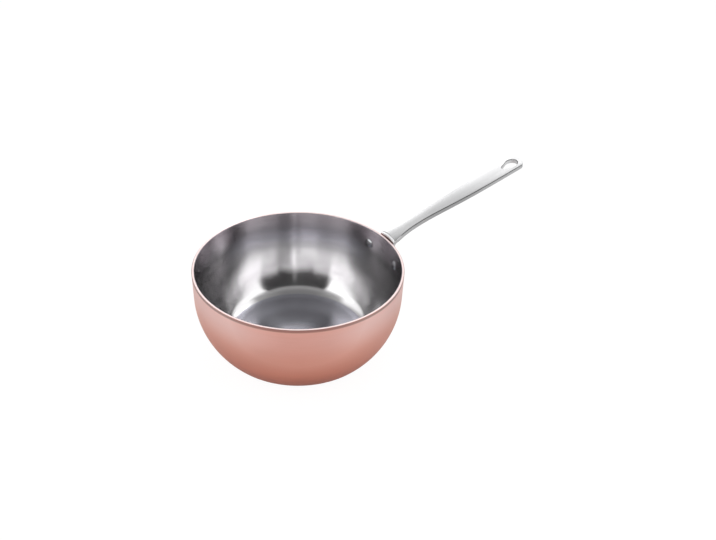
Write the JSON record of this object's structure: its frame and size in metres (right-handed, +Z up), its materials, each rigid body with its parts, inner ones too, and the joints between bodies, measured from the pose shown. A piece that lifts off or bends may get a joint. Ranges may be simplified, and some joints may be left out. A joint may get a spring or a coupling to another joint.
{
  "type": "saucier pan",
  "caption": "Round-bottomed saucier pan with a bonded three-layer bowl, satin copper outside and steel inside, and a long riveted handle with a hanging hole.",
  "frame": {"origin": "middle of the flat base, on the bowl's axis", "axes": "+Z up out of the bowl's mouth, +X from the bowl's axis towards the tip of the handle, +Y to the left when looking along +X"},
  "size_m": [0.3697, 0.2052, 0.1442],
  "materials": {
    "copper": "satin brushed copper",
    "core": "bare cut edge",
    "liner": "brushed round the bowl",
    "handle": "satin brushed along its length",
    "rivet": "satin"
  },
  "bodies": {
    "root": {"copper_shell": "copper", "aluminium_core": "core", "steel_liner": "liner", "handle": "handle", "rivet_left": "rivet", "rivet_right": "rivet"}
  },
  "joints": []
}
